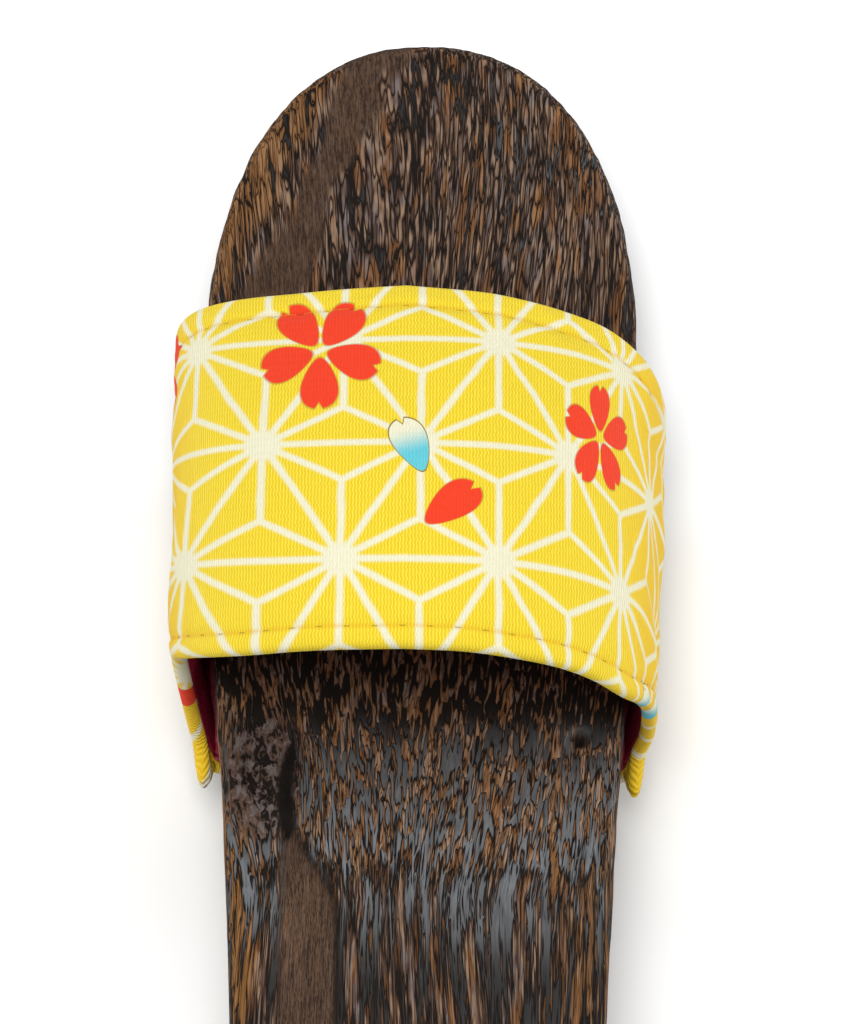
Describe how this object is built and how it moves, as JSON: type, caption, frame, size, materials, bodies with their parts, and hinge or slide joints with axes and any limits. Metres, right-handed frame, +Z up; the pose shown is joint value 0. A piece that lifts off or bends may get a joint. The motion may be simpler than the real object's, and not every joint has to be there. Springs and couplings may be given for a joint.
{
  "type": "geta sandal",
  "caption": "Slide geta sandal for the right foot: rounded one-piece wooden sole with an arched waist and a wide padded cloth band over the foot.",
  "frame": {"origin": "on the floor, under the middle of the bounding box", "axes": "+Y points to the toe along the sole, +X to the outer side of the right foot, +Z up"},
  "size_m": [0.1004, 0.245, 0.091],
  "materials": {
    "cedar": "scorched and brushed cedar, waxed to a low sheen",
    "crepe": "ribbed cotton crepe, printed, over padding",
    "lining": "smooth burgundy imitation leather"
  },
  "bodies": {
    "root": {"sole_block": "cedar", "upper_band": "crepe"}
  },
  "joints": []
}
